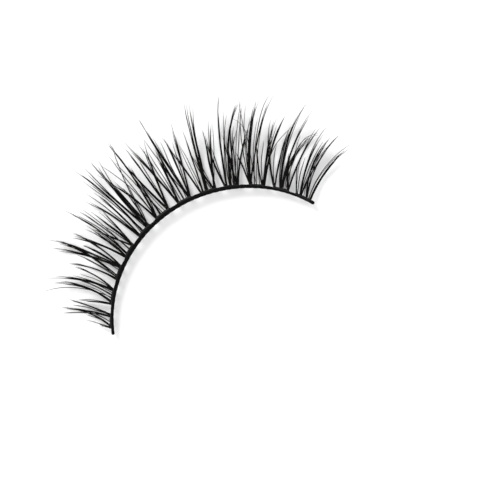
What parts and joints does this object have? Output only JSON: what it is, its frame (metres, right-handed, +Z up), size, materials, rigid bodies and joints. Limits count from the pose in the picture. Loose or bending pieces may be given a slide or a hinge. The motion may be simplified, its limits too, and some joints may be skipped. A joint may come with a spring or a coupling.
{
  "type": "false eyelash strip",
  "caption": "Strip of false eyelashes for one eye: a curved thread band with fans of long, crossed, curled lashes, shorter towards the inner corner.",
  "frame": {"origin": "middle of the strip's box, on the level surface that it lies on", "axes": "+Z up with the lashes' curl, +Y the way the lashes point, -X the inner corner of the eye, +X the outer corner"},
  "size_m": [0.0374, 0.0202, 0.0045],
  "materials": {
    "thread": "waxed black cotton thread, dull",
    "lash_fibre": "black synthetic lash fibre, soft satin"
  },
  "bodies": {
    "root": {"lash_band": "thread", "lash_fan_01": "lash_fibre", "lash_fan_02": "lash_fibre", "lash_fan_03": "lash_fibre", "lash_fan_04": "lash_fibre", "lash_fan_05": "lash_fibre", "lash_fan_06": "lash_fibre", "lash_fan_07": "lash_fibre", "lash_fan_08": "lash_fibre", "lash_fan_09": "lash_fibre", "lash_fan_10": "lash_fibre", "lash_fan_11": "lash_fibre", "lash_fan_12": "lash_fibre"}
  },
  "joints": []
}
